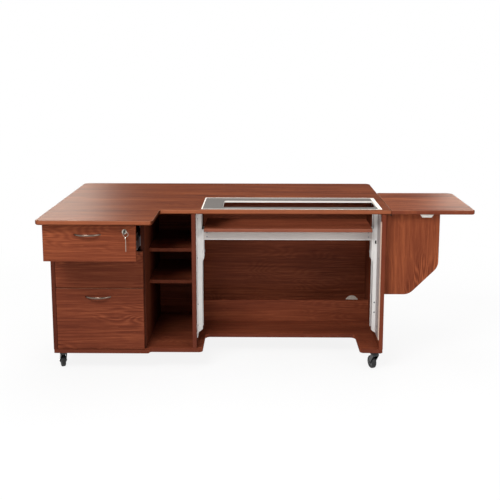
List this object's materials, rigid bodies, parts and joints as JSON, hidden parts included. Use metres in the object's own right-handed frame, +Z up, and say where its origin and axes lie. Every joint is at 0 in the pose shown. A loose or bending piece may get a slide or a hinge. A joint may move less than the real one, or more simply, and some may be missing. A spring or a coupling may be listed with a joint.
{
  "type": "sewing cabinet",
  "caption": "Rolling sewing cabinet with an L-shaped worktop, drop leaf on a swing-out gate, machine lift with acrylic insert, lockable drawer pedestal and shelf bay.",
  "frame": {"origin": "on the floor under the middle of the overall footprint", "axes": "+Z up, +X along the width towards the drop leaf, +Y away from the person who sits at the cabinet"},
  "size_m": [1.9154, 1.0164, 0.762],
  "materials": {
    "worktop_laminate": "satin cherry laminate",
    "carcass_laminate": "satin cherry laminate",
    "drawer_box_wood": "dark melamine drawer board",
    "white_steel": "white powder coat",
    "frosted_acrylic": "frosted acrylic",
    "zinc_steel": "zinc plated",
    "satin_pull": "satin nickel",
    "white_nylon": "white nylon",
    "caster_black": "black moulded",
    "caster_tread": "dark grey tread",
    "spring_steel": "bright spring strip",
    "beige_plastic": "beige moulded",
    "nickel_key": "nickel plated"
  },
  "bodies": {
    "cabinet": {"table_top": "worktop_laminate", "left_side_panel": "carcass_laminate", "drawer_divider": "carcass_laminate", "knee_panel": "carcass_laminate", "right_side_panel": "carcass_laminate", "base_plate": "carcass_laminate", "pedestal_back_panel": "carcass_laminate", "knee_back_panel": "carcass_laminate", "cable_rail": "carcass_laminate", "cable_raceway": "white_nylon", "cable_grommet": "beige_plastic", "shelves": "carcass_laminate", "shelf_pins": "zinc_steel", "slide_outer_rails": "zinc_steel", "lock_strike": "zinc_steel", "lift_columns": "white_steel", "column_screws": "zinc_steel", "balance_coils": "spring_steel", "leaf_hinge_fixed": "zinc_steel", "gate_hinge_fixed": "zinc_steel", "top_brackets": "zinc_steel", "caster_plates": "zinc_steel"},
    "insert": {"acrylic_insert": "frosted_acrylic"},
    "leaf": {"drop_leaf": "worktop_laminate", "leaf_hinge_moving": "zinc_steel", "gate_stop": "white_nylon"},
    "gate": {"gate_panel": "carcass_laminate", "gate_hinge_moving": "zinc_steel"},
    "lift": {"lift_platform": "carcass_laminate", "lift_crossbars": "white_steel", "lift_carriages": "white_steel", "lift_shoes": "white_nylon", "balance_strips": "spring_steel"},
    "lock": {"lock_plug": "nickel_key", "key": "nickel_key"},
    "keys": {"key_ring": "nickel_key"},
    "top_drawer": {"drawer_front_top": "carcass_laminate", "drawer_box_top": "drawer_box_wood", "pull_top": "satin_pull", "slide_inner_top": "zinc_steel", "lock_body": "nickel_key"},
    "top_slide_mid_pair": {"slide_mid_top": "zinc_steel"},
    "middle_drawer": {"drawer_front_middle": "carcass_laminate", "drawer_box_middle": "drawer_box_wood", "pull_middle": "satin_pull", "slide_inner_middle": "zinc_steel"},
    "middle_slide_mid_pair": {"slide_mid_middle": "zinc_steel"},
    "file_drawer": {"drawer_front_file": "carcass_laminate", "drawer_box_file": "drawer_box_wood", "pull_file": "satin_pull", "slide_inner_file": "zinc_steel"},
    "file_slide_mid_pair": {"slide_mid_file": "zinc_steel"},
    "swivel_front_left": {"caster_fork_front_left": "caster_black"},
    "wheel_front_left": {"caster_wheel_front_left": "caster_tread"},
    "swivel_front_right": {"caster_fork_front_right": "caster_black"},
    "wheel_front_right": {"caster_wheel_front_right": "caster_tread"},
    "swivel_back_left": {"caster_fork_back_left": "caster_black"},
    "wheel_back_left": {"caster_wheel_back_left": "caster_tread"},
    "swivel_back_right": {"caster_fork_back_right": "caster_black"},
    "wheel_back_right": {"caster_wheel_back_right": "caster_tread"}
  },
  "joints": [
    {"name": "insert_lift_out", "type": "slide", "parent": "cabinet", "child": "insert", "axis": [0, 0, 1], "range_m": [0, 0.1]},
    {"name": "leaf_hinge", "type": "hinge", "parent": "cabinet", "child": "leaf", "pos_m": [0.582, -0.023, 0.7388], "axis": [0, -1, 0], "range_deg": [0, 4]},
    {"name": "gate_swing", "type": "hinge", "parent": "cabinet", "child": "gate", "pos_m": [0.563, -0.19725, 0.55025], "axis": [0, 0, 1], "range_deg": [0, 90]},
    {"name": "lift_slide", "type": "slide", "parent": "cabinet", "child": "lift", "axis": [0, 0, 1], "range_m": [-0.32, 0.08], "deforming": ["balance_strips"]},
    {"name": "lock_turn", "type": "hinge", "parent": "top_drawer", "child": "lock", "pos_m": [-0.5847, -0.46425, 0.7062], "axis": [0, -1, 0], "range_deg": [0, 90]},
    {"name": "key_ring_swing", "type": "hinge", "parent": "top_drawer", "child": "keys", "pos_m": [-0.5847, -0.48025, 0.7062], "axis": [0, 1, 0], "range_deg": [-5, 5]},
    {"name": "top_drawer_slide", "type": "slide", "parent": "cabinet", "child": "top_drawer", "axis": [0, -1, 0], "range_m": [-0.19, 0.26]},
    {"name": "top_slide_mid_travel", "type": "slide", "parent": "cabinet", "child": "top_slide_mid_pair", "axis": [0, -1, 0], "range_m": [-0.095, 0.13]},
    {"name": "middle_drawer_slide", "type": "slide", "parent": "cabinet", "child": "middle_drawer", "axis": [0, -1, 0], "range_m": [0, 0.45]},
    {"name": "middle_slide_mid_travel", "type": "slide", "parent": "cabinet", "child": "middle_slide_mid_pair", "axis": [0, -1, 0], "range_m": [0, 0.225]},
    {"name": "file_drawer_slide", "type": "slide", "parent": "cabinet", "child": "file_drawer", "axis": [0, -1, 0], "range_m": [0, 0.45]},
    {"name": "file_slide_mid_travel", "type": "slide", "parent": "cabinet", "child": "file_slide_mid_pair", "axis": [0, -1, 0], "range_m": [0, 0.225]},
    {"name": "swivel_front_left_turn", "type": "hinge", "parent": "cabinet", "child": "swivel_front_left", "pos_m": [-0.9247, -0.22725, 0.0907], "axis": [0, 0, 1], "continuous": true},
    {"name": "wheel_front_left_spin", "type": "hinge", "parent": "swivel_front_left", "child": "wheel_front_left", "pos_m": [-0.93359, -0.20282, 0.03], "axis": [0.9397, 0.342, 0], "continuous": true},
    {"name": "swivel_front_right_turn", "type": "hinge", "parent": "cabinet", "child": "swivel_front_right", "pos_m": [0.5285, -0.22725, 0.0907], "axis": [0, 0, 1], "continuous": true},
    {"name": "wheel_front_right_spin", "type": "hinge", "parent": "swivel_front_right", "child": "wheel_front_right", "pos_m": [0.51961, -0.20282, 0.03], "axis": [0.9397, 0.342, 0], "continuous": true},
    {"name": "swivel_back_left_turn", "type": "hinge", "parent": "cabinet", "child": "swivel_back_left", "pos_m": [-0.9247, 0.26275, 0.0907], "axis": [0, 0, 1], "continuous": true},
    {"name": "wheel_back_left_spin", "type": "hinge", "parent": "swivel_back_left", "child": "wheel_back_left", "pos_m": [-0.93359, 0.28718, 0.03], "axis": [0.9397, 0.342, 0], "continuous": true},
    {"name": "swivel_back_right_turn", "type": "hinge", "parent": "cabinet", "child": "swivel_back_right", "pos_m": [0.5285, 0.26275, 0.0907], "axis": [0, 0, 1], "continuous": true},
    {"name": "wheel_back_right_spin", "type": "hinge", "parent": "swivel_back_right", "child": "wheel_back_right", "pos_m": [0.51961, 0.28718, 0.03], "axis": [0.9397, 0.342, 0], "continuous": true}
  ],
  "couplings": [
    {"joint": "top_slide_mid_travel", "follows": "top_drawer_slide", "ratio": 0.5},
    {"joint": "middle_slide_mid_travel", "follows": "middle_drawer_slide", "ratio": 0.5},
    {"joint": "file_slide_mid_travel", "follows": "file_drawer_slide", "ratio": 0.5}
  ]
}
